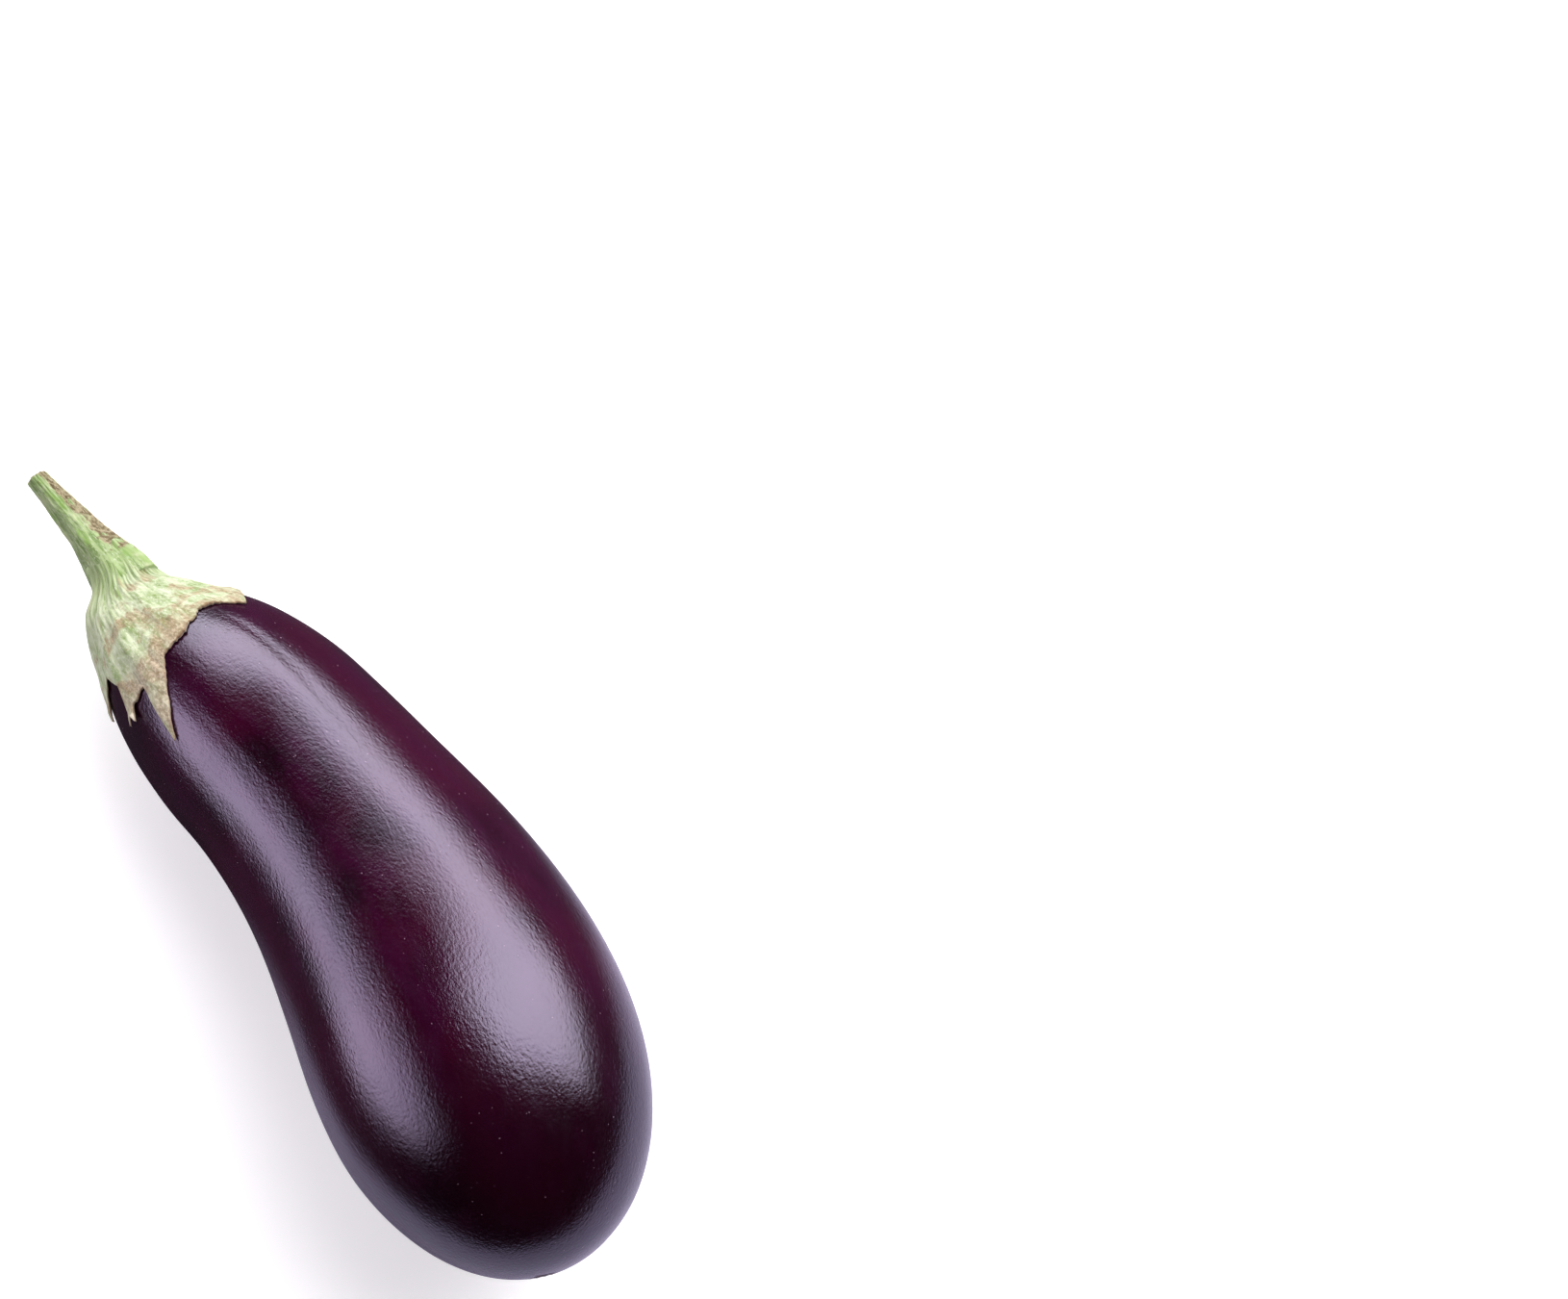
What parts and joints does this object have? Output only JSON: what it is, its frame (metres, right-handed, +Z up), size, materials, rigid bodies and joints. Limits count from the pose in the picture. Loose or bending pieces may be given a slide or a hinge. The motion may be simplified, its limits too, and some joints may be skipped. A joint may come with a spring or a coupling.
{
  "type": "eggplant",
  "caption": "Whole purple eggplant as picked, a curved glossy fruit lying on its side with a lobed green calyx and a short cut stem.",
  "frame": {"origin": "middle of the small flat under the belly, on the surface that the eggplant rests on", "axes": "+Z up; the stem points towards -X and the blossom end towards +X; the fruit bows towards +Y"},
  "size_m": [0.2433, 0.0819, 0.0799],
  "materials": {
    "fruit_skin": "gloss",
    "calyx_green": "matt",
    "stem_green": "matt"
  },
  "bodies": {
    "root": {"fruit": "fruit_skin", "calyx": "calyx_green", "stem": "stem_green"}
  },
  "joints": []
}
